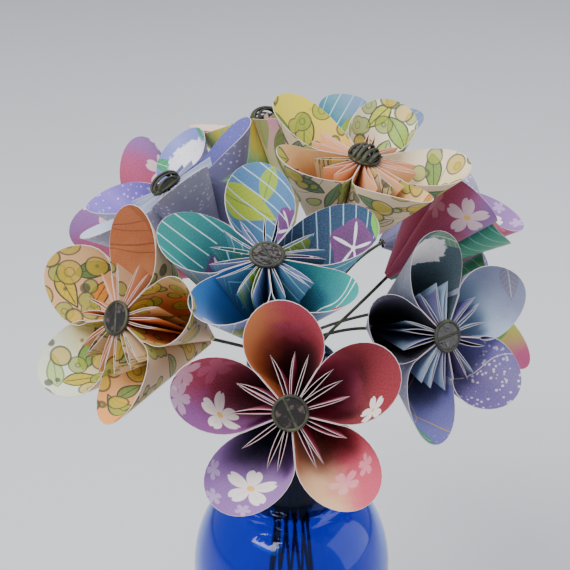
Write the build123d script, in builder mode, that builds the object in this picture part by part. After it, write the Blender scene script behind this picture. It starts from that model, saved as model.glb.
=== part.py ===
from build123d import *
import math
import os

os.makedirs("parts", exist_ok=True)

# A dozen origami blossoms on floral wires, standing loose in a glass bottle.
# Millimetres, +Z up. The origin is the centre of the bottle's flat foot and
# the fullest side of the bouquet faces -Y.

# Paper.
sheet_side = 100.0           # every petal starts as a square of this side
tip_round = 0.75             # fullness of the tip: 0.75 is round, 1 is narrower
paper = 0.3                  # one folded and glued layer
seam_play = 0.03             # half the glue line between neighbouring petals

petal_count = 5
wedge = 360 / petal_count    # angle each petal fills around its flower's axis
wall_reach = 0.35            # length of the flat glued walls per unit of height
lobe_radius = wall_reach * math.tan(math.radians(wedge / 2))
lobe_centre = wall_reach / math.cos(math.radians(wedge / 2))

apex_start = 4.0             # the point of the cone is gathered on the wire
throat = sheet_side / 2      # height of the middle of the flower above its base
tip_slant = sheet_side / math.sqrt(2)
fin_slope = math.tan(math.radians(22.5))
fin_spread = 18.0            # angle between the middle fin and a side fin
fin_thickness = 2 * paper

# Wire.
wire = 1.3
wire_play = 0.1
coil_diameter = 12.8         # the wire's end, coiled flat on top of the flower
coil_height = throat + wire / 2 + 0.35
coil_turn = 20.0             # turn of the coil's strands from the first petal
glue_rise = 1.4
glue_play = 0.05

# Bottle.
bottle_height = 240.0
body_diameter = 85.0
neck_diameter = 31.0
lip_diameter = 37.0
bore_diameter = 24.0
lip_band = 9.0
neck_length = 68.0           # lip to shoulder
shoulder_height = 37.0
glass = 3.2
floor_thickness = 6.0
punt_rise = 3.0
foot_radius = 5.0

# Where the wires run.
mouth_ring = 8.0             # the wires lie round a ring in the mouth
mouth_rise = 4.0             # height of their bend above the lip
floor_ring = 22.0            # ring of their lower ends on the bottle's floor
twist = 120.0                # turn between the two rings
slots = 12
slot_offset = 21.0
stub_length = 8.0            # straight wire below each flower's base
strand_pitch = 2.1           # between the strands of a wound coil

# The twelve flowers.
# paper: base of the flower from the middle of the bottle's lip (x, y, z),
# heading and lift of its axis, turn of its first petal about that axis,
# strands across its coil, slot of its wire in the mouth, and whether its
# petals are kept as five pieces or as one group.
flowers = {
    "crimson": ((3, -53, 14), -95, 26, 7, 1, 10, True),
    "teal": ((-10, -35, 24), -87, 71, 3, 1, 8, True),
    "orange": ((-29, -30, 25), -140, 30, 9, 1, 7, True),
    "cream": ((15, 2, 40), -25, 75, 63, 5, 0, True),
    "navy": ((30, 7, 9), -53, 21, 70, 1, 1, True),
    "lilac": ((-23, 13, 25), 171, 58, 15, 5, 6, True),
    "chintz_top": ((1, 52, 30), 117, 58, 65, 5, 9, False),
    "teal_back": ((17, 86, 15), 83, 37, 9, 1, 4, False),
    "chintz_side": ((32, 31, 2), 17, 2, 42, 1, 2, False),
    "sakura_side": ((36, 14, 26), 18, 43, 61, 1, 11, False),
    "lilac_back": ((38, 78, 11), 45, 3, 18, 1, 3, False),
    "sakura_back": ((-26, 44, 15), 143, 13, 66, 5, 5, False),
}


def teardrop(height, inset):
    """Section of one petal at a height above the flower's base."""
    middle = lobe_centre * height
    radius = lobe_radius * height - inset
    corner = middle - radius / math.sin(math.radians(wedge / 2))
    side = math.radians(90 + wedge / 2)
    tangent = (middle + radius * math.cos(side), radius * math.sin(side))
    with BuildSketch(Plane.XY.offset(height)) as section:
        with BuildLine():
            Line((corner, 0), tangent)
            ThreePointArc(tangent, (middle + radius, 0), (tangent[0], -tangent[1]))
            Line((tangent[0], -tangent[1]), (corner, 0))
        make_face()
    return section.sketch


def rim_point(share):
    """Point of the petal's free edge, seen square to its middle plane.

    share runs from 0 where the lobes part to 1 at the tip. The tip is the
    corner of the paper square, cut round, so the edge's distance from the
    base swells evenly from the wall's to the tip's.
    """
    side = math.radians(90 + wedge / 2) * (1 - share)
    along = lobe_centre + lobe_radius * math.cos(side)
    across = lobe_radius * math.sin(side)
    wall_slant = throat * math.sqrt(1 + wall_reach**2)
    bell = ((1 - math.cos(math.pi * share)) / 2) ** tip_round
    slant = wall_slant + (tip_slant - wall_slant) * bell
    height = slant / math.sqrt(1 + along * along + across * across)
    return (height * along, height)


# One petal: a conical lobe of paper standing on its point, with three fins
# folded inside it. It leans outward along +X from the flower's axis, Z.
with BuildPart() as hollow:
    add(loft([teardrop(apex_start, paper), teardrop(tip_slant, paper)], ruled=True))
    for swing in (-fin_spread, 0, fin_spread):
        with BuildSketch(Plane.XZ.rotated((0, 0, swing))):
            Polygon(
                (-1, 0),
                (0, 0),
                (throat * fin_slope, throat),
                (-1, throat),
                align=None,
            )
        extrude(amount=fin_thickness / 2, both=True, mode=Mode.SUBTRACT)

with BuildPart() as petal:
    add(loft([teardrop(apex_start, 0), teardrop(tip_slant, 0)], ruled=True))
    tip = rim_point(1)
    with BuildSketch(Plane.XZ):
        with BuildLine():
            Polyline((0, throat), (0, 0), (tip[0] + 5, 0), (tip[0] + 5, tip[1]), tip)
            Spline([rim_point(share) for share in (1, 0.75, 0.5, 0.25, 0)])
            Line(rim_point(0), (0, throat))
        make_face()
    extrude(amount=throat, both=True, mode=Mode.INTERSECT)
    add(hollow.part, mode=Mode.SUBTRACT)
    Cylinder(
        radius=wire / 2 + wire_play,
        height=tip_slant * 2,
        mode=Mode.SUBTRACT,
    )


def flower_plane(base, heading, lift):
    """Plane through a flower's base, square to its axis."""
    h = math.radians(heading)
    e = math.radians(lift)
    return Plane(
        origin=(base[0], base[1], base[2] + bottle_height),
        x_dir=(-math.sin(e) * math.cos(h), -math.sin(e) * math.sin(h), math.cos(e)),
        z_dir=(math.cos(e) * math.cos(h), math.cos(e) * math.sin(h), math.sin(e)),
    )


# The petals, five round each wire. The six flowers at the back are each kept
# as one group of five petals.
for name, (base, heading, lift, turn, strands, slot, open_out) in flowers.items():
    plane = flower_plane(base, heading, lift)
    places = [
        plane.location
        * Rotation(0, 0, turn + wedge * k)
        * Pos(seam_play / math.sin(math.radians(wedge / 2)), 0, 0)
        for k in range(petal_count)
    ]
    if open_out:
        for k, place in enumerate(places):
            with BuildPart() as blade:
                with Locations(place):
                    add(petal.part)
            blade.part.label = f"{name}_petal_{k + 1}"
            export_step(blade.part, f"parts/{name}_petal_{k + 1}.step")
    else:
        with BuildPart() as blossom:
            with Locations(places):
                add(petal.part)
        blossom.part.label = f"{name}_flower"
        export_step(blossom.part, f"parts/{name}_flower.step")

# The wires. Each is one length: coiled flat on top of the flower, straight
# down the flower's axis, over to the mouth of the bottle, and down to rest
# on its floor. Side by side they lie like the wires of a twisted sheaf.
coil_ring = (coil_diameter - wire) / 2
foot = floor_thickness + wire / 10

for name, (base, heading, lift, turn, strands, slot, open_out) in flowers.items():
    plane = flower_plane(base, heading, lift)
    around = math.radians(slot_offset + slot * 360 / slots)
    below = around + math.radians(twist)
    mouth = Vector(
        mouth_ring * math.cos(around),
        mouth_ring * math.sin(around),
        bottle_height + mouth_rise,
    )
    lower = Vector(floor_ring * math.cos(below), floor_ring * math.sin(below), foot)
    button = plane.origin + plane.z_dir * coil_height
    stub = plane.origin - plane.z_dir * stub_length
    first = (mouth - stub).length
    corners = [button, stub, mouth, lower]
    bends = []
    for before, at, after in zip(corners, corners[1:], corners[2:]):
        swing = (at - before).get_angle(after - at)
        shorter = min((at - before).length, (after - at).length, 30)
        bends.append(0.45 * shorter / math.tan(math.radians(swing / 2)))
    with BuildPart() as stem:
        with BuildLine() as route:
            FilletPolyline(*corners, radius=bends)
        with BuildSketch(Plane(origin=button, z_dir=stub - button)):
            Circle(wire / 2)
        sweep()
        with Locations(plane.location * Pos(0, 0, coil_height)):
            Torus(coil_ring, wire / 2)
        for strand in range(strands):
            offset_across = (strand - (strands - 1) / 2) * strand_pitch
            reach = math.sqrt(coil_ring**2 - offset_across**2)
            with Locations(
                plane.location
                * Rotation(0, 0, turn + coil_turn)
                * Pos(0, offset_across, coil_height)
                * Rotation(0, 90, 0)
            ):
                Cylinder(radius=wire / 2, height=2 * reach)
    stem.part.label = f"{name}_stem"
    export_step(stem.part, f"parts/{name}_stem.step")
    print(name, "bends", [round(bend, 1) for bend in bends])

# Clear glue fills each coil between its strands and holds it to the fins.
with BuildPart() as beads:
    for base, heading, lift, turn, strands, slot, open_out in flowers.values():
        top_plane = flower_plane(base, heading, lift).location * Pos(0, 0, throat)
        with Locations(top_plane):
            Cylinder(
                radius=coil_ring - wire / 2 - glue_play,
                height=glue_rise,
                align=(Align.CENTER, Align.CENTER, Align.MIN),
            )
        for strand in range(strands):
            offset_across = (strand - (strands - 1) / 2) * strand_pitch
            with Locations(
                top_plane
                * Rotation(0, 0, turn + coil_turn)
                * Pos(0, offset_across, coil_height - throat)
                * Rotation(0, 90, 0)
            ):
                Cylinder(
                    radius=wire / 2 + glue_play,
                    height=coil_diameter,
                    mode=Mode.SUBTRACT,
                )
        with Locations(top_plane):
            Cylinder(radius=wire / 2 + glue_play, height=wire, mode=Mode.SUBTRACT)
beads.part.label = "glue_beads"
export_step(beads.part, "parts/glue_beads.step")

# The bottle: one piece of blown glass with a flat foot, a raised floor, a
# round shoulder, a long neck and a thick band at the lip.
body = body_diameter / 2
neck = neck_diameter / 2
lip = lip_diameter / 2
bore = bore_diameter / 2
shoulder_top = bottle_height - neck_length
shoulder_foot = shoulder_top - shoulder_height
neck_flare = 6.0

with BuildPart() as bottle:
    with BuildSketch(Plane.XZ):
        with BuildLine():
            Polyline((0, 0), (body, 0), (body, shoulder_foot))
            EllipticalCenterArc(
                (neck + neck_flare, shoulder_foot),
                body - neck - neck_flare,
                shoulder_height,
                start_angle=0,
                arc_size=90,
            )
            CenterArc(
                (neck + neck_flare, shoulder_top + neck_flare),
                neck_flare,
                start_angle=270,
                arc_size=-90,
            )
            Polyline(
                (neck, shoulder_top + neck_flare),
                (neck, bottle_height - lip_band),
                (lip, bottle_height - lip_band),
                (lip, bottle_height),
                (0, bottle_height),
                (0, 0),
            )
        make_face()
    revolve()
    rims = bottle.edges().filter_by(GeomType.CIRCLE).group_by(Axis.Z)
    fillet(rims[0], foot_radius)
    fillet(rims[-1], lip_band / 3)
    with BuildSketch(Plane.XZ):
        with BuildLine():
            Polyline(
                (0, floor_thickness + punt_rise),
                (body / 2, floor_thickness),
                (body - glass - foot_radius, floor_thickness),
            )
            CenterArc(
                (body - glass - foot_radius, floor_thickness + foot_radius),
                foot_radius,
                start_angle=270,
                arc_size=90,
            )
            Line(
                (body - glass, floor_thickness + foot_radius),
                (body - glass, shoulder_foot),
            )
            EllipticalCenterArc(
                (bore + neck_flare, shoulder_foot),
                body - glass - bore - neck_flare,
                shoulder_height - glass,
                start_angle=0,
                arc_size=90,
            )
            CenterArc(
                (bore + neck_flare, shoulder_top - glass + neck_flare),
                neck_flare,
                start_angle=270,
                arc_size=-90,
            )
            Polyline(
                (bore, shoulder_top - glass + neck_flare),
                (bore, bottle_height),
                (0, bottle_height),
                (0, floor_thickness + punt_rise),
            )
        make_face()
    revolve(mode=Mode.SUBTRACT)
    inner_rims = (
        bottle.edges()
        .filter_by(GeomType.CIRCLE)
        .filter_by_position(Axis.Z, bottle_height - 0.1, bottle_height + 0.1)
    )
    fillet(inner_rims.sort_by(SortBy.RADIUS)[0], lip_band / 6)
bottle.part.label = "bottle"
export_step(bottle.part, "parts/bottle.step")
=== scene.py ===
import bpy
import math
import numpy as np
from mathutils import Matrix, Vector


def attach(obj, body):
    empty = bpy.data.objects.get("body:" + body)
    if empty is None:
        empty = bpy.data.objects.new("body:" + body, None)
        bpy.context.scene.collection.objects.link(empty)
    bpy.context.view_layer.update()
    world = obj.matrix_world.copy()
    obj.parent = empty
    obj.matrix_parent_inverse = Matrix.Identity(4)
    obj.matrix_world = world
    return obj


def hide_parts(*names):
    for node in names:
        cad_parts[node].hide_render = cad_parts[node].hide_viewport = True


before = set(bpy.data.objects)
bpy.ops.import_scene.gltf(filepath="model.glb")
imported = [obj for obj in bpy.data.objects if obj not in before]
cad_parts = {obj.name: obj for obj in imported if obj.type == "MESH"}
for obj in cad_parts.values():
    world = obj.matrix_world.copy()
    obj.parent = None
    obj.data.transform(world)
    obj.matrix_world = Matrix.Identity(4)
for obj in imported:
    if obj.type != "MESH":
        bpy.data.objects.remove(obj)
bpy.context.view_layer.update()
bpy.ops.object.select_all(action="DESELECT")

# Printed papers.
# Every petal is cut from patterned craft paper: matt, a little toothed, pale
# in its cut edge. The patterns are drawn on the flat sheet, in millimetres
# from its middle, which becomes the petal's point, so they run through the folds.


class Dye:
    """A value on its way through a paper's nodes."""

    def __init__(self, tree, socket):
        self.tree = tree
        self.socket = socket

    def node(self, kind, settings, links, out=0):
        made = self.tree.nodes.new(kind)
        for key, value in settings.items():
            setattr(made, key, value)
        for key, value in links.items():
            if isinstance(value, Dye):
                self.tree.links.new(value.socket, made.inputs[key])
            else:
                made.inputs[key].default_value = value
        return Dye(self.tree, made.outputs[out])

    def sum(self, operation, *others):
        return self.node(
            "ShaderNodeMath", {"operation": operation}, dict(enumerate([self, *others]))
        )

    def __add__(self, other):
        return self.sum("ADD", other)

    __radd__ = __add__

    def __sub__(self, other):
        return self.sum("SUBTRACT", other)

    def __rsub__(self, other):
        return self.node("ShaderNodeMath", {"operation": "SUBTRACT"}, {0: other, 1: self})

    def __mul__(self, other):
        return self.sum("MULTIPLY", other)

    __rmul__ = __mul__

    def __truediv__(self, other):
        return self.sum("DIVIDE", other)

    def __pow__(self, other):
        return self.sum("POWER", other)

    def __abs__(self):
        return self.sum("ABSOLUTE")

    def soft(self, low, high):
        """0 below low, 1 above high, smooth between."""
        return self.node(
            "ShaderNodeMapRange",
            {"interpolation_type": "SMOOTHSTEP"},
            {0: self, 1: low, 2: high},
        )

    def over(self, mask, colour):
        """This colour with another laid over it where the mask is 1."""
        if not isinstance(colour, Dye):
            colour = (*colour, 1)
        return self.node(
            "ShaderNodeMix", {"data_type": "RGBA"}, {0: mask, 6: self, 7: colour}, 2
        )


def drawn_print(name, near, far, side, side_turn, motifs, seed):
    """A patterned paper: a ground that runs from near to far and into side,
    and motifs laid over it. The near ground, at the petal's point deep in the
    cone, is mostly darker: painted shade over the paper's own colour. The inks
    are richer and deeper than listed."""

    def rich(ink):
        grey = sum(ink) / 3
        return tuple(max(0.0, grey + (part - grey) * 1.25) ** 1.15 for part in ink)

    near, far, side = rich(near), rich(far), side and rich(side)
    made = bpy.data.materials.new(name)
    made.use_nodes = True
    tree = made.node_tree
    paper = tree.nodes["Principled BSDF"]
    start = Dye(tree, None)
    place = start.node("ShaderNodeUVMap", {"uv_map": "sheet"}, {})
    split = place.node("ShaderNodeSeparateXYZ", {}, {0: place})
    x = split * 100
    y = Dye(tree, split.socket.node.outputs[1]) * 100
    cloud = place.node(
        "ShaderNodeTexNoise", {}, {"Vector": place, "Scale": 7.0 + seed % 3, "Detail": 3.0}
    )
    fleck = place.node(
        "ShaderNodeTexNoise", {}, {"Vector": place, "Scale": 160.0, "Detail": 2.0}
    )
    blur = (cloud - 0.5) * 26
    ink = place.node("ShaderNodeRGB", {}, {})
    # The near ground comes first: mostly darker than the far one, painted shade of the cone's depth.
    ink.socket.default_value = (*near, 1)
    ink = ink.over((y + blur).soft(30, 62), far)
    if side:
        across = x * math.cos(side_turn) + (y - 48) * math.sin(side_turn)
        ink = ink.over((across + blur * 0.5).soft(-2, 13), side)
    for motif in motifs:
        kind, cx, cy, size, turn, colour, detail = motif
        colour = rich(colour)
        dx = x - cx
        dy = y - cy
        along = dx * math.cos(turn) + dy * math.sin(turn)
        across = dy * math.cos(turn) - dx * math.sin(turn)
        reach = ((dx * dx + dy * dy) ** 0.5) / size
        bearing = dy.sum("ARCTAN2", dx) + turn
        if kind == "blossom":
            lobe = abs((bearing * 2.5).sum("COSINE"))
            edge = lobe**0.55 * 0.86 + 0.16 - lobe**90 * 0.12
            ink = ink.over((edge - reach).soft(0.0, 0.05) * 0.94, colour)
            ray = (lobe**60) * (reach.soft(0.1, 0.3)) * ((0.72 - reach).soft(0, 0.2))
            ink = ink.over(ray * 0.4, detail)
            ink = ink.over((0.17 - reach).soft(0.0, 0.05), detail)
        if kind == "ghost":
            lobe = abs((bearing * 2.5).sum("COSINE"))
            edge = lobe**0.55 * 0.84 + 0.18 - lobe**90 * 0.12
            ink = ink.over((edge - reach).soft(0.0, 0.1) * 0.42, colour)
        if kind == "trumpet":
            lobe = (bearing * 5).sum("COSINE")
            ink = ink.over((0.93 + lobe * 0.07 - reach).soft(0.0, 0.03), colour)
            ink = ink.over(((1 - reach).soft(0.0, 0.6) * 0.35), (0.02, 0.01, 0.03))
            point = abs((bearing * 2.5).sum("COSINE")) ** 14
            ink = ink.over((point * 0.78 + 0.13 - reach).soft(0.0, 0.05), detail)
        if kind in ("leaf", "inked_leaf"):
            u = along / size
            half = (1 - u * u) * (1 + u * 0.35) * size * 0.42
            inside = (half - abs(across)).soft(0.0, 0.25) * (1.02 - abs(u)).soft(0, 0.02)
            ink = ink.over(inside, colour)
            vein = (0.3 - abs(across)).soft(0.0, 0.2) * (0.85 - abs(u)).soft(0, 0.1)
            ribs = ((along + abs(across)) * 2.4).sum("SINE").soft(0.88, 1.0) * inside
            ink = ink.over(vein + ribs * 0.35, detail)
            if kind == "inked_leaf":
                line = (0.45 - abs(half - abs(across))).soft(0.0, 0.25)
                ink = ink.over(line * (1.04 - abs(u)).soft(0.0, 0.03), detail)
        if kind == "stripes":
            wave = abs((across / size).sum("FRACT") - 0.5)
            ink = ink.over(
                (0.045 - wave).soft(-0.02, 0.02) * (along + 0).soft(-0.5, 0.5), colour
            )
        if kind == "band":
            ink = ink.over((across + blur * detail).soft(-0.3, 0.3), colour)
        if kind == "dots":
            cell = place.node(
                "ShaderNodeTexVoronoi", {}, {"Vector": place, "Scale": 100 / size}
            )
            ink = ink.over(
                (detail - cell).soft(0.0, 0.08) * (along + blur).soft(-2, 8) * 0.8, colour
            )
        if kind == "peony":
            ruffle = place.node(
                "ShaderNodeTexNoise", {}, {"Vector": place, "Scale": 28.0, "Detail": 2.0}
            )
            worn = reach + (ruffle - 0.5) * 0.55
            ink = ink.over((1 - worn).soft(0.0, 0.08), colour)
            folds = abs(((reach * 7 + ruffle * 9) * 1.6).sum("SINE"))
            ink = ink.over((0.3 - folds).soft(0, 0.3) * (1 - worn).soft(0.05, 0.2) * 0.5, detail)
        if kind == "line":
            wander = (along / 5).sum("SINE") * 2.2
            ink = ink.over((size - abs(across + wander)).soft(0.0, 0.2), colour)
        if kind == "blooms":
            # Small outlined blooms, scattered over the whole sheet.
            shift = place.node(
                "ShaderNodeVectorMath", {}, {0: place, 1: (size + seed, seed, 0.0)}
            )
            spot = place.node(
                "ShaderNodeTexVoronoi", {}, {"Vector": shift, "Scale": size, "Randomness": 0.8}
            )
            ink = ink.over((0.40 - spot).soft(0.0, 0.03) * 0.75, colour)
            ink = ink.over((0.035 - abs(spot - 0.40)).soft(0.0, 0.02) * 0.85, detail)
            ink = ink.over((0.03 - abs(spot - 0.16)).soft(0.0, 0.02) * 0.6, detail)
    ink = ink.over((fleck - 0.5) * 0.14 + 0.04, (1.0, 1.0, 1.0))
    tree.links.new(ink.socket, paper.inputs["Base Color"])
    rough = fleck * 0.18 + 0.40
    tree.links.new(rough.socket, paper.inputs["Roughness"])
    tooth = fleck.node(
        "ShaderNodeBump", {}, {"Strength": 0.12, "Distance": 0.0002, "Height": fleck}
    )
    tree.links.new(tooth.socket, paper.inputs["Normal"])
    paper.inputs["Specular IOR Level"].default_value = 0.25
    return made


PI = math.pi
white = (0.86, 0.82, 0.80)
gold = (0.85, 0.50, 0.08)
ink_line = (0.04, 0.045, 0.02)
blooms = [
    ("blooms", 0, 0, 11.0, 0, (0.30, 0.36, 0.06), ink_line),
    ("blooms", 0, 0, 8.5, 0, (0.52, 0.40, 0.05), ink_line),
]

cut_edge = drawn_print("cut_edge", (0.54, 0.44, 0.45), (0.64, 0.58, 0.58), None, 0, [], 1)
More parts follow.
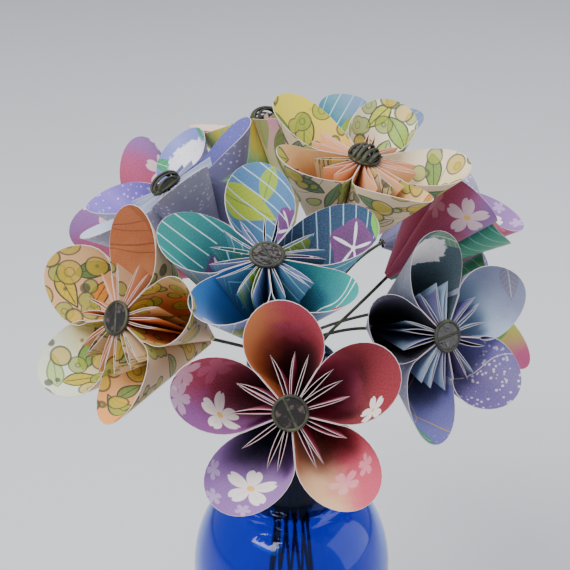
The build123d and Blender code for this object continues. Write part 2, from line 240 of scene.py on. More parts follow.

# Inside print of each petal: near ground, far ground, side ground, side turn,
# motifs (kind, across, along, size, turn, colour, detail). The near grounds
# are mostly dark: painted shade deep in the cone, over the paper's colour.
prints = {
    "crimson": [
        ((0.10, 0.003, 0.018), (0.42, 0.07, 0.10), (0.58, 0.25, 0.11), 0.15, [
            ("ghost", -2, 50, 8, 0.4, (0.42, 0.10, 0.16), gold)]),
        ((0.14, 0.006, 0.03), (0.33, 0.045, 0.09), (0.25, 0.10, 0.26), 0.3, [
            ("ghost", -9, 54, 8, 0.2, (0.50, 0.16, 0.24), gold),
            ("ghost", -5, 67, 7, 1.0, (0.80, 0.62, 0.68), gold),
            ("ghost", 4, 66, 6, 0.3, (0.80, 0.66, 0.74), gold),
            ("blossom", 9, 47, 9, 0.35, white, gold)]),
        ((0.016, 0.03, 0.07), (0.29, 0.17, 0.38), (0.31, 0.19, 0.40), 0.0, [
            ("ghost", -11, 59, 4, 0.4, (0.72, 0.62, 0.80), gold),
            ("ghost", -5, 67, 3.4, 0.9, (0.72, 0.62, 0.80), gold),
            ("ghost", 6, 66, 3, 0.1, (0.72, 0.62, 0.80), gold),
            ("blossom", 4, 55, 9.5, 0.5, white, gold)]),
        ((0.24, 0.006, 0.03), (0.52, 0.12, 0.17), (0.66, 0.47, 0.31), PI, [
            ("ghost", -3, 55, 6, 0.4, (0.82, 0.50, 0.56), gold),
            ("ghost", 7, 56, 4.5, 0.9, (0.82, 0.50, 0.56), gold)]),
        ((0.12, 0.003, 0.022), (0.25, 0.010, 0.036), (0.52, 0.13, 0.20), -1.2, [
            ("ghost", 0, 40, 6, 0.4, (0.42, 0.10, 0.18), gold),
            ("blossom", -13, 54, 6, 0.5, white, gold)]),
    ],
    "teal": [
        ((0.10, 0.22, 0.34), (0.13, 0.26, 0.44), None, 0, [
            ("leaf", 6, 56, 15, 0.5, (0.42, 0.50, 0.08), (0.16, 0.24, 0.04)),
            ("leaf", -4, 62, 8, 1.9, (0.36, 0.48, 0.10), (0.16, 0.24, 0.04)),
            ("trumpet", -14, 46, 9, 0.2, (0.22, 0.08, 0.26), (0.72, 0.70, 0.78)),
            ("stripes", 0, 36, 5, 0.7, (0.60, 0.72, 0.78), 0)]),
        ((0.05, 0.10, 0.20), (0.02, 0.27, 0.25), None, 0, [
            ("stripes", 0, 44, 5.2, PI / 2 - 0.2, (0.66, 0.84, 0.82), 0),
            ("trumpet", -6, 36, 9, 0.6, (0.16, 0.06, 0.20), (0.62, 0.62, 0.72)),
            ("leaf", 8, 42, 9, 1.2, (0.05, 0.22, 0.16), (0.02, 0.12, 0.08))]),
        ((0.04, 0.12, 0.24), (0.30, 0.38, 0.58), (0.07, 0.22, 0.48), PI, [
            ("trumpet", 8, 50, 8, 0.3, (0.20, 0.03, 0.06), (0.55, 0.45, 0.55)),
            ("leaf", -2, 58, 7, 1.4, (0.56, 0.58, 0.72), (0.16, 0.06, 0.24))]),
        ((0.03, 0.14, 0.22), (0.03, 0.30, 0.28), None, 0, [
            ("line", 9, 60, 0.5, 1.2, (0.72, 0.88, 0.86), 0),
            ("line", 13, 60, 0.4, 1.2, (0.72, 0.88, 0.86), 0),
            ("trumpet", -3, 55, 8.5, 0.5, (0.42, 0.07, 0.07), (0.70, 0.68, 0.72))]),
        ((0.015, 0.05, 0.11), (0.02, 0.07, 0.14), None, 0, [
            ("stripes", 0, 30, 5, 0.9, (0.42, 0.56, 0.62), 0),
            ("trumpet", -2, 56, 11, 0.35, (0.17, 0.06, 0.19), (0.74, 0.72, 0.78)),
            ("leaf", -4, 69, 6, 0.4, (0.20, 0.42, 0.10), (0.10, 0.26, 0.06))]),
    ],
    "orange": [
        ((0.66, 0.38, 0.22), (0.46, 0.17, 0.07), None, 0, [
            ("band", 0, 56, 8, PI / 2 - 0.2, (0.36, 0.12, 0.04), 0.6),
            ("line", 0, 58, 0.35, 0.3, (0.30, 0.09, 0.04), 0),
            ("line", 0, 52, 0.5, 0.2, (0.34, 0.12, 0.05), 0),
            ("line", 0, 47, 0.4, 0.35, (0.38, 0.15, 0.06), 0),
            ("line", 0, 63, 0.35, 0.1, (0.24, 0.07, 0.03), 0)]),
        ((0.74, 0.52, 0.34), (0.72, 0.48, 0.28), None, 0, [
            ("inked_leaf", -6, 54, 8, 0.8, (0.14, 0.22, 0.05), ink_line),
            ("inked_leaf", 6, 60, 8, 2.2, (0.60, 0.46, 0.06), ink_line),
            ("inked_leaf", 2, 48, 7, 0.1, (0.64, 0.30, 0.06), ink_line),
            ("inked_leaf", -10, 42, 6, 1.4, (0.20, 0.28, 0.06), ink_line)]),
        ((0.60, 0.34, 0.18), (0.62, 0.62, 0.34), (0.70, 0.74, 0.62), PI / 2, [
            ("inked_leaf", -6, 50, 7, 0.6, (0.20, 0.30, 0.08), ink_line),
            ("inked_leaf", 4, 56, 7, 1.7, (0.50, 0.42, 0.08), ink_line),
            ("inked_leaf", -2, 64, 7, 0.2, (0.46, 0.58, 0.30), (0.20, 0.28, 0.10)),
            ("inked_leaf", 8, 44, 6, 2.6, (0.24, 0.30, 0.08), ink_line)]),
        ((0.60, 0.40, 0.24), (0.74, 0.38, 0.16), None, 0, [
            ("inked_leaf", 9, 50, 8, 1.2, (0.24, 0.32, 0.10), ink_line),
            ("inked_leaf", -7, 58, 9, 0.5, (0.34, 0.36, 0.08), ink_line),
            ("inked_leaf", 3, 64, 7, 2.3, (0.62, 0.30, 0.06), ink_line),
            ("inked_leaf", -10, 47, 6, 1.8, (0.20, 0.26, 0.08), ink_line),
            ("inked_leaf", 2, 42, 6, 0.4, (0.56, 0.42, 0.08), ink_line)]),
        ((0.50, 0.16, 0.05), (0.60, 0.46, 0.26), None, 0, [
            ("inked_leaf", -6, 54, 7, 0.6, (0.36, 0.34, 0.10), ink_line),
            ("inked_leaf", 6, 58, 7, 1.9, (0.30, 0.32, 0.10), ink_line),
            ("inked_leaf", 0, 64, 6, 0.1, (0.58, 0.50, 0.10), ink_line)]),
    ],
    "cream": [
        ((0.46, 0.22, 0.09), (0.74, 0.50, 0.28), None, 0, [
            ("inked_leaf", -5, 52, 9, 0.5, (0.56, 0.40, 0.06), ink_line),
            ("inked_leaf", 6, 57, 8, 1.7, (0.16, 0.22, 0.06), ink_line),
            ("inked_leaf", -8, 63, 8, 1.1, (0.44, 0.46, 0.10), ink_line),
            ("inked_leaf", 4, 46, 6, 2.4, (0.60, 0.46, 0.10), ink_line)]),
        ((0.50, 0.24, 0.10), (0.74, 0.54, 0.32), None, 0, [
            ("inked_leaf", -8, 50, 9, 1.5, (0.12, 0.26, 0.08), ink_line),
            ("inked_leaf", 7, 60, 9, 0.3, (0.56, 0.28, 0.05), ink_line),
            ("inked_leaf", 8, 47, 7, 2.6, (0.20, 0.28, 0.08), ink_line),
            ("inked_leaf", 0, 58, 6, 1.3, (0.60, 0.44, 0.08), ink_line)]),
        ((0.62, 0.44, 0.28), (0.70, 0.62, 0.34), (0.78, 0.70, 0.56), 0.4, [
            ("inked_leaf", -4, 48, 9, 0.9, (0.66, 0.58, 0.30), ink_line),
            ("inked_leaf", -7, 60, 9, 2.1, (0.50, 0.52, 0.12), ink_line),
            ("inked_leaf", 7, 55, 8, 0.4, (0.20, 0.30, 0.08), ink_line),
            ("line", 4, 58, 0.3, 1.3, (0.36, 0.30, 0.12), 0)]),
        ((0.72, 0.46, 0.28), (0.78, 0.76, 0.62), None, 0, [
            ("inked_leaf", -6, 58, 9, 0.7, (0.30, 0.42, 0.10), ink_line),
            ("inked_leaf", 5, 62, 7, 2.0, (0.56, 0.58, 0.14), ink_line),
            ("inked_leaf", -2, 48, 7, 1.6, (0.34, 0.44, 0.14), ink_line)]),
        ((0.74, 0.48, 0.30), (0.70, 0.62, 0.12), (0.76, 0.64, 0.48), -0.3, [
            ("inked_leaf", -6, 52, 9, 1.9, (0.44, 0.48, 0.10), ink_line),
            ("inked_leaf", 6, 61, 8, 0.6, (0.22, 0.34, 0.08), ink_line),
            ("line", 5, 56, 0.3, 1.3, (0.40, 0.34, 0.06), 0)]),
    ],
    "navy": [
        ((0.006, 0.006, 0.014), (0.035, 0.030, 0.060), (0.10, 0.09, 0.14), PI / 2, [
            ("dots", 0, 50, 2.2, 1.4, (0.30, 0.28, 0.36), 0.26)]),
        ((0.03, 0.03, 0.08), (0.17, 0.17, 0.38), None, 0, [
            ("line", -4, 54, 0.4, 0.5, (0.42, 0.32, 0.12), 0),
            ("line", 2, 48, 0.3, 2.0, (0.42, 0.32, 0.12), 0),
            ("leaf", -4, 67, 8, 0.3, (0.05, 0.24, 0.12), (0.30, 0.46, 0.34)),
            ("dots", 0, 60, 2.0, 1.5, (0.40, 0.40, 0.60), 0.22)]),
        ((0.02, 0.018, 0.06), (0.13, 0.10, 0.25), (0.20, 0.18, 0.40), -0.5, [
            ("dots", 0, 46, 2.2, 1.5, (0.62, 0.58, 0.66), 0.30),
            ("line", 4, 52, 0.3, 0.8, (0.56, 0.50, 0.56), 0)]),
        ((0.20, 0.28, 0.42), (0.44, 0.52, 0.62), (0.24, 0.26, 0.36), 1.2, [
            ("leaf", 3, 66, 9, 0.3, (0.20, 0.20, 0.26), (0.36, 0.38, 0.46))]),
        ((0.05, 0.08, 0.10), (0.06, 0.10, 0.12), None, 0, [
            ("leaf", -8, 66, 10, 0.2, (0.16, 0.26, 0.18), (0.50, 0.60, 0.54)),
            ("leaf", 6, 42, 8, 1.2, (0.08, 0.22, 0.12), (0.40, 0.52, 0.42)),
            ("peony", 0, 57, 10, 0.0, (0.80, 0.77, 0.76), (0.44, 0.40, 0.42))]),
    ],
    "lilac": [
        ((0.08, 0.08, 0.24), (0.17, 0.17, 0.44), None, 0, [
            ("dots", 0, 58, 2.0, 1.5, (0.34, 0.34, 0.60), 0.22)]),
        ((0.16, 0.16, 0.40), (0.26, 0.28, 0.56), None, 0, [
            ("leaf", 12, 58, 8, 0.4, (0.04, 0.30, 0.14), (0.40, 0.60, 0.48)),
            ("leaf", -10, 66, 7, 1.2, (0.04, 0.30, 0.14), (0.40, 0.60, 0.48)),
            ("peony", 0, 54, 12, 0.0, (0.84, 0.84, 0.88), (0.52, 0.52, 0.62))]),
        ((0.10, 0.08, 0.26), (0.24, 0.18, 0.52), None, 0, [
            ("dots", 0, 44, 2.2, 1.5, (0.60, 0.58, 0.78), 0.26)]),
        ((0.30, 0.34, 0.50), (0.60, 0.64, 0.74), None, 0, [
            ("leaf", 5, 54, 7, 0.8, (0.46, 0.56, 0.50), (0.70, 0.74, 0.76))]),
        ((0.28, 0.30, 0.44), (0.56, 0.60, 0.72), None, 0, [
            ("peony", -2, 50, 9, 0.0, (0.78, 0.80, 0.84), (0.50, 0.52, 0.60))]),
    ],
}

# Outside print and fin print of each paper. Their near grounds, at the
# petal's point and low on the pleats, are mostly darker: painted shade over
# the paper's colour.
outsides = {
    "crimson": ((0.36, 0.06, 0.13), (0.42, 0.10, 0.19), (0.30, 0.16, 0.36), 0.6, [
        ("blossom", 3, 52, 9, 0.3, (0.78, 0.62, 0.66), gold),
        ("ghost", -10, 44, 6, 0.6, (0.70, 0.42, 0.50), gold),
        ("blossom", 14, 66, 6, 0.9, (0.80, 0.68, 0.72), gold)]),
    "teal": ((0.06, 0.20, 0.28), (0.10, 0.30, 0.36), (0.34, 0.44, 0.62), 0.8, [
        ("leaf", 4, 46, 12, 0.9, (0.30, 0.40, 0.08), (0.12, 0.22, 0.04)),
        ("stripes", 0, 34, 5, 1.2, (0.56, 0.74, 0.76), 0)]),
    "orange": ((0.62, 0.46, 0.30), (0.66, 0.52, 0.36), None, 0, [
        ("inked_leaf", -8, 44, 7, 0.6, (0.36, 0.40, 0.16), ink_line),
        ("inked_leaf", 6, 58, 7, 1.9, (0.56, 0.48, 0.22), ink_line),
        ("inked_leaf", 8, 38, 6, 0.2, (0.34, 0.34, 0.14), ink_line),
        ("inked_leaf", -4, 66, 6, 1.2, (0.60, 0.52, 0.12), ink_line)]),
    "cream": ((0.60, 0.46, 0.31), (0.66, 0.54, 0.38), None, 0, [
        ("inked_leaf", -10, 56, 7, 0.5, (0.13, 0.22, 0.09), ink_line),
        ("inked_leaf", 8, 60, 8, 2.1, (0.12, 0.20, 0.09), ink_line),
        ("inked_leaf", -2, 47, 6, 1.2, (0.54, 0.46, 0.30), ink_line),
        ("inked_leaf", 14, 48, 7, 0.9, (0.14, 0.22, 0.10), ink_line),
        ("inked_leaf", 1, 63, 5, 0.2, (0.58, 0.44, 0.12), ink_line),
        ("inked_leaf", -18, 46, 6, 1.6, (0.50, 0.42, 0.26), ink_line),
        ("line", 0, 54, 0.25, 0.5, ink_line, 0)]),
    "navy": ((0.13, 0.13, 0.20), (0.26, 0.27, 0.36), (0.36, 0.38, 0.46), 1.0, [
        ("dots", 0, 40, 2.2, 1.5, (0.54, 0.54, 0.62), 0.24)]),
    "lilac": ((0.17, 0.16, 0.27), (0.22, 0.21, 0.36), (0.34, 0.33, 0.42), 0.9, [
        ("dots", 0, 44, 2.2, 1.5, (0.60, 0.60, 0.74), 0.28),
        ("leaf", -8, 50, 8, 0.4, (0.20, 0.32, 0.24), (0.40, 0.50, 0.46))]),
    "chintz": ((0.52, 0.50, 0.28), (0.66, 0.32, 0.44), (0.60, 0.30, 0.46), 0.4, [
        ("leaf", 0, 40, 17, PI / 2, (0.17, 0.20, 0.06), (0.36, 0.38, 0.12)),
        ("leaf", 14, 50, 12, 1.3, (0.32, 0.34, 0.14), (0.14, 0.18, 0.05)),
        ("leaf", -14, 50, 12, 1.8, (0.32, 0.34, 0.14), (0.14, 0.18, 0.05))]),
    "meadow": ((0.34, 0.42, 0.10), (0.56, 0.56, 0.16), (0.62, 0.16, 0.30), 0.9, [
        ("leaf", 6, 58, 9, 0.9, (0.66, 0.10, 0.24), (0.84, 0.56, 0.60)),
        ("leaf", -8, 50, 9, 2.0, (0.20, 0.36, 0.10), (0.44, 0.56, 0.20))]),
    "stripe": ((0.05, 0.26, 0.17), (0.06, 0.30, 0.20), (0.62, 0.56, 0.14), 0.5, [
        ("stripes", 0, 20, 4.4, 0.6, (0.26, 0.50, 0.36), 0),
        ("leaf", 18, 52, 10, 0.8, (0.70, 0.14, 0.28), (0.78, 0.50, 0.56))]),
}
fins = {
    "crimson": ((0.34, 0.07, 0.13), (0.58, 0.24, 0.32), None, 0, []),
    "teal": ((0.05, 0.16, 0.28), (0.14, 0.28, 0.42), (0.30, 0.34, 0.56), 0.6, [
        ("stripes", 0, 10, 6, 0.5, (0.40, 0.66, 0.64), 0)]),
    "orange": ((0.70, 0.36, 0.20), (0.78, 0.46, 0.28), None, 0, []),
    "cream": ((0.72, 0.38, 0.22), (0.80, 0.52, 0.34), None, 0, []),
    "navy": ((0.20, 0.26, 0.40), (0.46, 0.58, 0.66), (0.20, 0.18, 0.34), 0.7, []),
    "lilac": ((0.34, 0.40, 0.56), (0.62, 0.68, 0.78), None, 0, []),
    "chintz": ((0.64, 0.44, 0.46), (0.72, 0.56, 0.46), None, 0, []),
}

# The flowers.
# Twelve kusudama flowers. Each has five petals, each one square sheet folded
# into a cone with three standing pleats inside, glued wall to wall round the
# wire. A fold is a straight line from the petal's point, so every part of the
# sheet keeps its distance from that point.
bottle_height = 0.240
throat = 0.050
wall_reach = 0.35
wedge = math.radians(72)
glue_line = 0.00005
paper_wall = 0.00022
wall_slant = throat * math.sqrt(1 + wall_reach**2)
tip_slant = throat * math.sqrt(2)
wall_angle = math.degrees(math.atan(wall_reach))
apex = 0.0040
wall_share = 0.29        # of the half sheet lies in a glued wall
puff = 0.35              # how much rounder a petal gets as it opens less
tip_round = 0.75         # fullness of the tip
ripple_height = 0.004    # of the free edge, as a share of its reach
pleat_angle = math.radians(22.5)
pleat_foot = 0.0007      # where a pleat leaves the wire
pleat_paper = 0.75       # of the wall's thickness

# base from the bottle's lip (mm), heading, lift, first petal's turn, the
# paper, and how far each petal opens and leans (degrees), with how much of its
# tip stands up where some of it has rolled away.
flowers = {
    "crimson": ((3, -53, 14), -95, 26, 7, "crimson",
                [(33, 1), (35, -1), (34, -7), (34, 3), (35, 4)]),
    "teal": ((-10, -35, 24), -87, 71, 3, "teal",
             [(36, 1), (33, 8), (37, 0), (35, 2), (35, -8)]),
    "orange": ((-29, -30, 25), -140, 30, 9, "orange",
               [(35, -1), (29, -3), (30, 6), (35, -2), (38, -1)]),
    "cream": ((15, 2, 40), -25, 75, 63, "cream",
              [(37, 2), (35, 6), (34, -8), (37, -5), (36, 4)]),
    "navy": ((30, 7, 9), -53, 21, 70, "navy",
             [(37, -7), (36, 5), (30, 0), (30, 5), (36, 5)]),
    "lilac": ((-23, 13, 25), 171, 58, 15, "lilac",
              [(37, -8), (37, 1), (38, -2), (37, 3), (35, 0)]),
    "chintz_top": ((1, 52, 30), 117, 58, 65, "chintz",
                   [(24, 0, 0.1), (34, 0), (34, 0), (36, 6, 0.35), (38, 0, 0.2)]),
    "teal_back": ((17, 86, 15), 83, 37, 9, "teal",
                  [(38, 0, 0.5), (34, 0), (34, 0), (34, 0), (36, 0, 0.4)]),
    "chintz_side": ((32, 31, 2), 17, 2, 42, "chintz",
                    [(42, 0, 0.2), (34, 0), (34, 0), (34, 0), (32, 0, 0.9)]),
    "sakura_side": ((36, 14, 26), 18, 43, 61, "crimson",
                    [(34, 0, 0.6), (28, 4, 0.1), (34, 0), (26, 0, 0.2), (24, -6, 0.2)]),
    "lilac_back": ((38, 78, 11), 45, 3, 18, "lilac",
                   [(26, 0, 0.2), (28, 0, 0.2), (34, 0), (34, 0), (26, 0, 0.2)]),
    "sakura_back": ((-26, 44, 15), 143, 13, 66, "crimson", [(34, 0)] * 5),
}
prints["chintz"] = [
    (near, far, (0.74, 0.60, 0.52), 0.4 + k, [
        ("leaf", 2, 56, 11, 0.8 + k, (0.62, 0.14, 0.26), (0.80, 0.50, 0.56)),
        ("leaf", -8, 46, 8, 2.0 + k, (0.10, 0.30, 0.12), (0.30, 0.50, 0.26))])
    for k, (near, far) in enumerate([
        ((0.46, 0.16, 0.22), (0.66, 0.40, 0.44)),
        ((0.50, 0.44, 0.20), (0.72, 0.68, 0.36)),
        ((0.44, 0.14, 0.20), (0.60, 0.18, 0.28)),
        ((0.30, 0.34, 0.20), (0.62, 0.56, 0.46)),
        ((0.46, 0.20, 0.26), (0.70, 0.54, 0.54)),
    ])
]

# The orange and cream papers carry small blooms over their leaves, apart from
# each one's first inside sheet.
for paper in ("orange", "cream"):
    outsides[paper][4].extend(blooms)
    for inside in prints[paper][1:]:
        inside[4].extend(blooms)

papers = {}
seed = 0
for paper, kept in prints.items():
    fin_print = drawn_print(f"{paper}_fins", *fins[paper], 3)
    back = [drawn_print(f"{paper}_outside", *outsides[paper], 5)]
    if paper == "chintz":
        back = [back[0], back[0],
                drawn_print("stripe_outside", *outsides["stripe"], 4),
                drawn_print("stripe_outside_b", *outsides["stripe"], 8), back[0]]
    for k, inside in enumerate(kept):
        seed += 1
        papers[paper, k] = [
            back[k % len(back)],
            drawn_print(f"{paper}_inside_{k + 1}", *inside, seed),
            cut_edge,
            fin_print,
        ]

# Petals whose outside is another paper than their flower's.
odd_backs = {
    ("sakura_side", 1): papers["chintz", 2][0],
    ("chintz_side", 0): papers["chintz", 2][0],
    ("chintz_side", 1): drawn_print("meadow_outside", *outsides["meadow"], 6),
}
# Where the front flower's pleats stand (degrees off each petal's middle), and
# which of a petal's papers the pleats of each flower show.
pleat_swings = {
    ("crimson", 0): (9, -4, -22),
    ("crimson", 1): (-21, -13, 11),
    ("crimson", 2): (-17, 8, 21),
    ("crimson", 3): (18, -9, -16),
    ("crimson", 4): (25, 12, -11),
}
pleat_faces = {
    "crimson": [3, 3, 3],
    "teal": [3, 3, 0, 1],
    "orange": [3, 3, 0],
    "cream": [3, 3, 0],
    "navy": [3, 3, 3, 1],
    "lilac": [3, 3, 3, 1],
    "chintz": [3, 0],
}
scatter = np.random.default_rng(12)
columns = 44
rows = 12
stands = {}

for name, (base, heading, lift, turn, paper, openings) in flowers.items():
    h = math.radians(heading)
    e = math.radians(lift)
    axis = Vector((math.cos(e) * math.cos(h), math.cos(e) * math.sin(h), math.sin(e)))
    uphill = Vector((-math.sin(e) * math.cos(h), -math.sin(e) * math.sin(h), math.cos(e)))
    sideways = axis.cross(uphill)
    stand = Matrix((uphill, sideways, axis)).transposed().to_4x4()
    stand.translation = Vector(base) / 1000 + Vector((0, 0, bottle_height))
    stands[name] = stand
    for k, (opening, lean, *rolled) in enumerate(openings):
        # The lobe's section at unit height: two straight glued walls, then a
        # round bow whose far point is the petal's tip.
        bow = wall_reach * math.tan(wedge / 2)
        middle = wall_reach / math.cos(wedge / 2)
        start = wall_reach * math.cos(wedge / 2)
        tip = math.tan(math.radians(opening))
        longer = (tip - start) / (middle + bow - start)
        side = math.pi / 2 + wedge / 2
        share = np.linspace(0, 1, 400)
        outline = []
        for part in share:
            if part < wall_share:
                s = wall_reach * part / wall_share
                outline.append((s * math.cos(wedge / 2), s * math.sin(wedge / 2)))
            else:
                b = side * (1 - (part - wall_share) / (1 - wall_share))
                px = middle + bow * math.cos(b)
                py = bow * math.sin(b) * (1 + puff * (1 - longer))
                px = start + (px - start) * longer
                outline.append((px, py))
        outline = np.array(outline)
        left = np.concatenate([outline, outline[-2::-1] * (1, -1)])
        lean_at = np.clip((left[:, 0] - start) / (tip - start), 0, 1)
        left[:, 1] += math.tan(math.radians(lean)) * tip * lean_at**1.5
        flat = np.degrees(
            np.concatenate([[0], np.cumsum([
                math.acos(min(1, (1 + a @ b) / math.sqrt((1 + a @ a) * (1 + b @ b))))
                for a, b in zip(left, left[1:])
            ])])
        )
        swept = flat / flat[-1] * 90 - 45

        bpy.ops.mesh.primitive_grid_add(x_subdivisions=columns, y_subdivisions=rows, size=2)
        lobe = bpy.context.object
        count = len(lobe.data.vertices)
        points = np.empty(count * 3)
        lobe.data.vertices.foreach_get("co", points)
        points = points.reshape(-1, 3)
        phi = points[:, 0] * 45
        deep = (points[:, 1] + 1) / 2
        qx = np.interp(phi, swept, left[:, 0])
        qy = np.interp(phi, swept, left[:, 1])
        # The free edge: level along the glued walls, then swelling to a
        # round tip.
        turned = 45 - np.abs(phi)
        bell = (1 - np.cos(math.pi * np.clip((turned - wall_angle) / (45 - wall_angle), 0, 1))) / 2
        standing = rolled[0] if rolled else 1.0
        rim = np.where(
            turned < wall_angle,
            throat / np.cos(np.radians(turned)),
            wall_slant + standing * (tip_slant - wall_slant) * bell**tip_round,
        )
        slant = apex * 1.1 + (rim - apex * 1.1) * deep
        wobble = scatter.uniform(-1, 1, 6)
        ripple = sum(
            wobble[i] * np.sin((i + 2) * np.radians(phi) * 2 + wobble[i - 1] * 3)
            for i in range(6)
        )
        free = np.clip((qx - start) / (tip - start), 0, 1)
        swell = 1 + ripple * ripple_height * free * deep
        height = slant / np.sqrt(1 + qx**2 + qy**2)
        folded = np.stack([height * qx * swell + glue_line, height * qy * swell, height], 1)
        lobe.data.vertices.foreach_set("co", folded.ravel())
        sheet = lobe.data.uv_layers[0] if lobe.data.uv_layers else lobe.data.uv_layers.new()
        sheet.name = "sheet"
        flat_x = -slant * np.sin(np.radians(phi)) * 10
        flat_y = slant * np.cos(np.radians(phi)) * 10
        for loop in lobe.data.loops:
            v = loop.vertex_index
            sheet.data[loop.index].uv = (flat_x[v], flat_y[v])
        sheets = list(papers[paper, k])
        sheets[0] = odd_backs.get((name, k), sheets[0])
        for made in sheets:
            lobe.data.materials.append(made)
        bpy.ops.object.mode_set(mode="EDIT")
        bpy.ops.mesh.select_all(action="SELECT")
        bpy.ops.mesh.normals_make_consistent(inside=False)
        bpy.ops.object.mode_set(mode="OBJECT")
        # The outside of the bow faces away from the flower's axis.
        middle_face = min(
            lobe.data.polygons, key=lambda f: -f.center.x + abs(f.center.y) * 3
        )
        if middle_face.normal.x < 0:
            lobe.data.flip_normals()
        skin = lobe.modifiers.new("layers", "SOLIDIFY")
        skin.thickness = paper_wall
        skin.offset = -1
        skin.material_offset = 1
        skin.material_offset_rim = 2
        bpy.ops.object.modifier_apply(modifier=skin.name)

        # Three pleats stand on the wire inside the lobe, each two leaves that
        # part a little between the wire and the fold.
        pleats = []
        for swing in pleat_swings.get((name, k), (-18, 0, 18)):
            bpy.ops.mesh.primitive_grid_add(x_subdivisions=12, y_subdivisions=6, size=2)
            fin = bpy.context.object
            points = np.empty(len(fin.data.vertices) * 3)
            fin.data.vertices.foreach_get("co", points)
            points = points.reshape(-1, 3)
            round_fin = points[:, 0]
            deep = (points[:, 1] + 1) / 2
            height = apex * 1.6 + (throat - apex * 1.6) * deep
            reach_out = 1 - np.abs(round_fin)
            far = math.tan(pleat_angle) * height
            gape = scatter.uniform(0.2, 0.9) * 0.0009 * height / throat
            out = pleat_foot + (far - pleat_foot) * reach_out
            apart = (
                np.sign(round_fin) * gape * np.sin(math.pi * reach_out)
                + 0.00012 * np.sign(round_fin)
            )
            loose = 0 if (name, k) in pleat_swings else 7
            swing_here = math.radians(swing + scatter.uniform(-loose, loose) + lean * 0.4)
            curl = scatter.uniform(-0.12, 0.12)
            bend = swing_here + curl * reach_out**2
            folded = np.stack([
                out * np.cos(bend) - apart * np.sin(bend) + glue_line,
                out * np.sin(bend) + apart * np.cos(bend),
                height + 0 * out,
            ], 1)
            fin.data.vertices.foreach_set("co", folded.ravel())
            sheet = fin.data.uv_layers[0]
            sheet.name = "sheet"
            for loop in fin.data.loops:
                v = loop.vertex_index
                sheet.data[loop.index].uv = (
                    out[v] * 10 * (1 if round_fin[v] > 0 else -1) + swing * 0.01, height[v] * 10
                )
            for made in sheets:
                fin.data.materials.append(made)
            shown = int(scatter.choice(pleat_faces[paper]))
            for face in fin.data.polygons:
                face.material_index = shown
            skin = fin.modifiers.new("layers", "SOLIDIFY")
            skin.thickness = paper_wall * pleat_paper
            skin.offset = 0
            skin.material_offset_rim = 2 - shown
            bpy.ops.object.modifier_apply(modifier=skin.name)
            pleats.append(fin)
        bpy.ops.object.select_all(action="DESELECT")
        for fin in pleats:
            fin.select_set(True)
        lobe.select_set(True)
        bpy.context.view_layer.objects.active = lobe
        bpy.ops.object.join()
        lobe.data.transform(stand @ Matrix.Rotation(math.radians(turn) + wedge * k, 4, "Z"))
        bpy.ops.object.shade_smooth_by_angle(angle=math.radians(35))
        lobe.name = f"{name}_folded_{k + 1}"
        lobe.data.name = lobe.name
        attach(lobe, "root")
        if f"{name}_petal_{k + 1}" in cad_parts:
            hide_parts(f"{name}_petal_{k + 1}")
        else:
            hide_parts(f"{name}_flower")
        bpy.ops.object.select_all(action="DESELECT")

# The wires.
# Florist wire wrapped in dark green paper tape: dull, slightly ribbed by the
# turns of the tape, paler where it has rubbed.
tape = bpy.data.materials.new("green_tape")
tape.use_nodes = True
tree = tape.node_tree
wrap = tree.nodes["Principled BSDF"]
start = Dye(tree, None)
where = start.node("ShaderNodeTexCoord", {}, {}, 3)
grain = where.node("ShaderNodeTexNoise", {}, {"Vector": where, "Scale": 900.0, "Detail": 4.0})
worn = where.node("ShaderNodeTexNoise", {}, {"Vector": where, "Scale": 160.0, "Detail": 3.0})
green = where.node("ShaderNodeRGB", {}, {})
green.socket.default_value = (0.012, 0.013, 0.006, 1)
green = green.over(worn.soft(0.42, 0.70), (0.050, 0.054, 0.022))
green = green.over(grain.soft(0.55, 0.8) * 0.4, (0.13, 0.13, 0.07))
tree.links.new(green.socket, wrap.inputs["Base Color"])
tree.links.new((grain * 0.3 + 0.45).socket, wrap.inputs["Roughness"])
ribbing = where.node(
    "ShaderNodeBump", {}, {"Strength": 0.5, "Distance": 0.0002, "Height": grain}
)
tree.links.new(ribbing.socket, wrap.inputs["Normal"])
for name in flowers:
    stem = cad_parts[f"{name}_stem"]
    stem.data.materials.clear()
    stem.data.materials.append(tape)

# Some coils are wound over and over, so their strands bulge into a bundle.
coil_turn = 20
coil_radius = 5.75
strand_radius = 0.00075
bundle_height = 0.0520
for name in ("cream", "lilac", "chintz_top", "sakura_back"):
    turn = flowers[name][3]
    stand = stands[name] @ Matrix.Rotation(math.radians(turn + coil_turn), 4, "Z")
    strands = []
    for off in (-4.3, -2.2, 0.0, 2.2, 4.3):
        bpy.ops.mesh.primitive_torus_add(
            major_segments=40,
            minor_segments=10,
            major_radius=math.sqrt(coil_radius**2 - off**2) / 1000,
            minor_radius=strand_radius,
            rotation=(math.pi / 2, 0, 0),
            location=(0, off / 1000, 0),
        )
        strand = bpy.context.object
        bpy.ops.object.transform_apply(location=True, rotation=True, scale=True)
        slack = scatter.uniform(-0.3, 0.3)
        for v in strand.data.vertices:
            v.co.z = bundle_height + v.co.z * (0.62 - abs(off) * 0.03)
            v.co.y += slack * 0.001 * math.sin(v.co.x * 500)
        strands.append(strand)
    bpy.ops.object.select_all(action="DESELECT")
    for strand in strands:
        strand.select_set(True)
    bpy.context.view_layer.objects.active = strands[0]
    bpy.ops.object.join()
    winding = bpy.context.object
    winding.data.transform(stand)
    bpy.ops.object.shade_smooth()
    winding.name = f"{name}_winding"
    winding.data.name = winding.name
    winding.data.materials.append(tape)
    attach(winding, "root")
    bpy.ops.object.select_all(action="DESELECT")
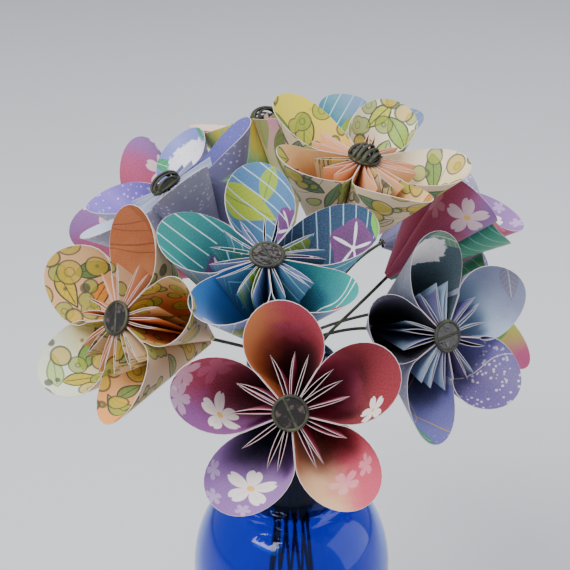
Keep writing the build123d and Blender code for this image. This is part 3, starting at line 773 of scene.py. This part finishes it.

# The glue.
# A bead of hot glue in each coil, glassy and coloured near black: painted
# shade for the shadow under it, with paler patches of cloudy glue.
glue = bpy.data.materials.new("hot_glue")
glue.use_nodes = True
tree = glue.node_tree
drop = tree.nodes["Principled BSDF"]
start = Dye(tree, None)
where = start.node("ShaderNodeTexCoord", {}, {}, 3)
haze = where.node("ShaderNodeTexNoise", {}, {"Vector": where, "Scale": 300.0, "Detail": 2.0})
glue_shade_and_haze = where.node("ShaderNodeRGB", {}, {})
# Painted shade: the near-black ground stands for the shadow under the glue.
glue_shade_and_haze.socket.default_value = (0.012, 0.009, 0.008, 1)
glue_shade_and_haze = glue_shade_and_haze.over(haze.soft(0.56, 0.72) * 0.5, (0.16, 0.11, 0.10))
tree.links.new(glue_shade_and_haze.socket, drop.inputs["Base Color"])
tree.links.new((haze * 0.1 + 0.05).socket, drop.inputs["Roughness"])
bump = where.node("ShaderNodeBump", {}, {"Strength": 0.7, "Distance": 0.001, "Height": haze})
tree.links.new(bump.socket, drop.inputs["Normal"])
drop.inputs["Transmission Weight"].default_value = 0.0
drop.inputs["IOR"].default_value = 1.48
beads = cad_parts["glue_beads"]
beads.data.materials.clear()
beads.data.materials.append(glue)

# The bottle.
# Cobalt blue glass, blown in a mould: thick, clear and glossy. Above the
# shoulder its colour is painted near black: painted shade for the thick neck
# seen through its full width.
cobalt = bpy.data.materials.new("cobalt_glass")
cobalt.use_nodes = True
tree = cobalt.node_tree
blown = tree.nodes["Principled BSDF"]
start = Dye(tree, None)
where = start.node("ShaderNodeTexCoord", {}, {}, 3)
level = Dye(tree, where.node("ShaderNodeSeparateXYZ", {}, {0: where}).socket.node.outputs[2])
drift = where.node("ShaderNodeTexNoise", {}, {"Vector": where, "Scale": 18.0, "Detail": 2.0})
blue = where.node("ShaderNodeRGB", {}, {})
blue.socket.default_value = (0.001, 0.09, 0.66, 1)
blue = blue.over(drift.soft(0.4, 0.7) * 0.5, (0.003, 0.13, 0.74))
# Painted shade: the glass above the shoulder, the neck, turns near black.
blue = blue.over(level.soft(0.1720, 0.1726), (0.0015, 0.004, 0.02))
tree.links.new(blue.socket, blown.inputs["Base Color"])
tree.links.new((drift * 0.04 + 0.05).socket, blown.inputs["Roughness"])
shine = 0.4 - level.soft(0.170, 0.174) * 0.38
tree.links.new(shine.socket, blown.inputs["Coat Weight"])
blown.inputs["Coat Roughness"].default_value = 0.08
blown.inputs["Specular Tint"].default_value = (0.2, 0.24, 0.4, 1)
bump = where.node("ShaderNodeBump", {}, {"Strength": 0.08, "Distance": 0.001, "Height": drift})
tree.links.new(bump.socket, blown.inputs["Normal"])
blown.inputs["Transmission Weight"].default_value = 1.0
blown.inputs["IOR"].default_value = 1.46

profile = []
body, neck, lip, bore = 42.5, 15.5, 18.5, 12.0
shoulder_top, shoulder_foot, flare, glass = 172.0, 135.0, 6.0, 3.2
for a in range(0, 91, 15):
    profile.append((body - 5 + 5 * math.sin(math.radians(a)),
                    5 - 5 * math.cos(math.radians(a))))
for z in (30, 60, 90, 115):
    profile.append((body, z))
for a in range(0, 91, 6):
    profile.append((neck + flare + (body - neck - flare) * math.cos(math.radians(a)),
                    shoulder_foot + 37 * math.sin(math.radians(a))))
for a in range(15, 91, 15):
    profile.append((neck + flare - flare * math.sin(math.radians(a)),
                    shoulder_top + flare - flare * math.cos(math.radians(a))))
for z in (195, 212, 226, 230.4):
    profile.append((neck, z))
profile += [(neck + 0.2, 230.9), (lip - 0.8, 231.0), (lip - 0.2, 231.3), (lip, 232.2)]
for a in range(0, 91, 15):
    profile.append((lip - 3 + 3 * math.cos(math.radians(a)),
                    237 + 3 * math.sin(math.radians(a))))
for a in range(0, 91, 18):
    profile.append((bore + 1.5 - 1.5 * math.sin(math.radians(a)),
                    238.5 + 1.5 * math.cos(math.radians(a))))
for z in (225, 205, 188, shoulder_top - glass + flare):
    profile.append((bore, z))
for a in range(75, -1, -15):
    profile.append((bore + flare - flare * math.sin(math.radians(a)),
                    shoulder_top - glass + flare - flare * math.cos(math.radians(a))))
for a in range(84, -1, -6):
    profile.append((bore + flare + (body - glass - bore - flare) * math.cos(math.radians(a)),
                    shoulder_foot + 33.8 * math.sin(math.radians(a))))
for z in (110, 85, 60, 30):
    profile.append((body - glass, z))
for a in range(90, -1, -15):
    profile.append((body - glass - 5 + 5 * math.sin(math.radians(a)),
                    11 - 5 * math.cos(math.radians(a))))
profile += [(21.25, 6.0), (12, 7.3), (3, 8.6)]

bpy.ops.mesh.primitive_circle_add(
    vertices=96, radius=profile[0][0] / 1000, fill_type="NOTHING", location=(0, 0, profile[0][1] / 1000)
)
bottle = bpy.context.object
bpy.ops.object.transform_apply(location=True, rotation=True, scale=True)
bpy.ops.object.mode_set(mode="EDIT")
bpy.ops.mesh.select_all(action="SELECT")
r, z = profile[0]
for next_r, next_z in profile[1:]:
    bpy.ops.mesh.extrude_region_move(
        TRANSFORM_OT_translate={"value": (0, 0, (next_z - z) / 1000)}
    )
    bpy.ops.transform.resize(
        value=(next_r / r, next_r / r, 1), center_override=(0, 0, next_z / 1000)
    )
    r, z = next_r, next_z
bpy.ops.mesh.edge_face_add()
bpy.ops.mesh.select_all(action="DESELECT")
bpy.ops.object.mode_set(mode="OBJECT")
for edge in bottle.data.edges:
    ends = [bottle.data.vertices[v].co for v in edge.vertices]
    edge.select = all(v.z < 1e-5 for v in ends)
bpy.ops.object.mode_set(mode="EDIT")
bpy.ops.mesh.edge_face_add()
bpy.ops.mesh.select_all(action="SELECT")
bpy.ops.mesh.normals_make_consistent(inside=False)
bpy.ops.object.mode_set(mode="OBJECT")
bpy.ops.object.shade_smooth_by_angle(angle=math.radians(40))
bottle.name = "cobalt_bottle"
bottle.data.name = bottle.name
bottle.data.materials.append(cobalt)
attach(bottle, "root")
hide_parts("bottle")
bpy.ops.object.select_all(action="DESELECT")

# The table, the light and the camera.
# A plain pale floor that runs out of the picture, painted darker towards the
# back as painted shade where the light falls off, a high key light, a broad
# pane of light on the right, a soft light behind and a dim even sky.
bpy.ops.mesh.primitive_plane_add(size=12, location=(0, 2, 0))
floor = bpy.context.object
floor.name = "pale_floor"
pale = bpy.data.materials.new("pale_floor")
pale.use_nodes = True
tree = pale.node_tree
start = Dye(tree, None)
where = start.node("ShaderNodeTexCoord", {}, {}, 3)
cloud = where.node("ShaderNodeTexNoise", {}, {"Vector": where, "Scale": 1.4, "Detail": 2.0})
grey = where.node("ShaderNodeRGB", {}, {})
grey.socket.default_value = (0.56, 0.57, 0.59, 1)
grey = grey.over(cloud.soft(0.3, 0.7), (0.60, 0.605, 0.63))
# Painted shade: the floor turns darker farther back, away from the lights.
far_off = Dye(tree, where.node("ShaderNodeSeparateXYZ", {}, {0: where}).socket.node.outputs[1])
grey = grey.over((far_off + 1.9).soft(0.0, 1.6), (0.36, 0.365, 0.39))
tree.links.new(grey.socket, tree.nodes["Principled BSDF"].inputs["Base Color"])
tree.nodes["Principled BSDF"].inputs["Roughness"].default_value = 0.85
floor.data.materials.append(pale)

world = bpy.data.worlds.new("studio")
bpy.context.scene.world = world
world.use_nodes = True
world.node_tree.nodes["Background"].inputs[0].default_value = (0.82, 0.86, 0.95, 1)
world.node_tree.nodes["Background"].inputs[1].default_value = 0.78
for place, aim, size, power, colour in (
    ((-0.7, -0.65, 1.75), (0, 0, 0.25), 1.0, 46, (1.0, 0.98, 0.96)),
    ((1.5, -0.1, 0.75), (0, 0, 0.2), 1.5, 13, (0.94, 0.97, 1.0)),
    ((0.1, 1.0, 1.3), (0, 0, 0.25), 1.2, 10, (1.0, 1.0, 1.0)),
):
    lamp = bpy.data.lights.new("softbox", "AREA")
    lamp.size = size
    lamp.energy = power
    lamp.color = colour
    hung = bpy.data.objects.new("softbox", lamp)
    bpy.context.collection.objects.link(hung)
    hung.location = place
    hung.rotation_euler = (Vector(aim) - Vector(place)).to_track_quat("-Z", "Y").to_euler()

camera = bpy.data.cameras.new("camera")
camera.sensor_width = 36
camera.lens = 36 * 1500 / 570
camera.clip_start = 0.01
eye = bpy.data.objects.new("camera", camera)
bpy.context.collection.objects.link(eye)
eye.location = (-0.0028, -0.5233, 0.5509)
eye.rotation_euler = (math.radians(90 - 28), 0, 0)
bpy.context.scene.camera = eye
